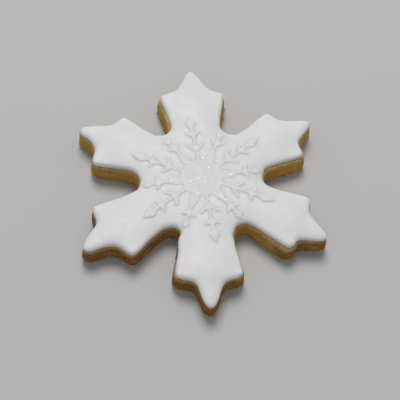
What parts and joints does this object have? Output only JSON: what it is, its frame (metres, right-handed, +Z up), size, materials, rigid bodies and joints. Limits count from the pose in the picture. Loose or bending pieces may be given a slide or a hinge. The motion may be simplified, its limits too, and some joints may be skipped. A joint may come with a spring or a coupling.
{
  "type": "decorated snowflake cookie",
  "caption": "Snowflake-shaped cut-out biscuit with barbed arms, covered in smooth white icing and topped with a thin raised snowflake ornament; lies flat, ready to serve.",
  "frame": {"origin": "middle of the underside, on the surface that the cookie lies on", "axes": "+Z up through the icing, +Y along the arm at the top of the picture, +X to its right"},
  "size_m": [0.0819, 0.0934, 0.0101],
  "materials": {
    "biscuit": "matt, dry and crumbly, golden brown at the cut side and paler at the lower edge",
    "icing": "smooth satin white, rolled or flooded, with a soft rounded rim",
    "topper": "pearly satin white with scattered edible glitter"
  },
  "bodies": {
    "root": {"biscuit": "biscuit", "icing": "icing", "snowflake_topper": "topper"}
  },
  "joints": []
}
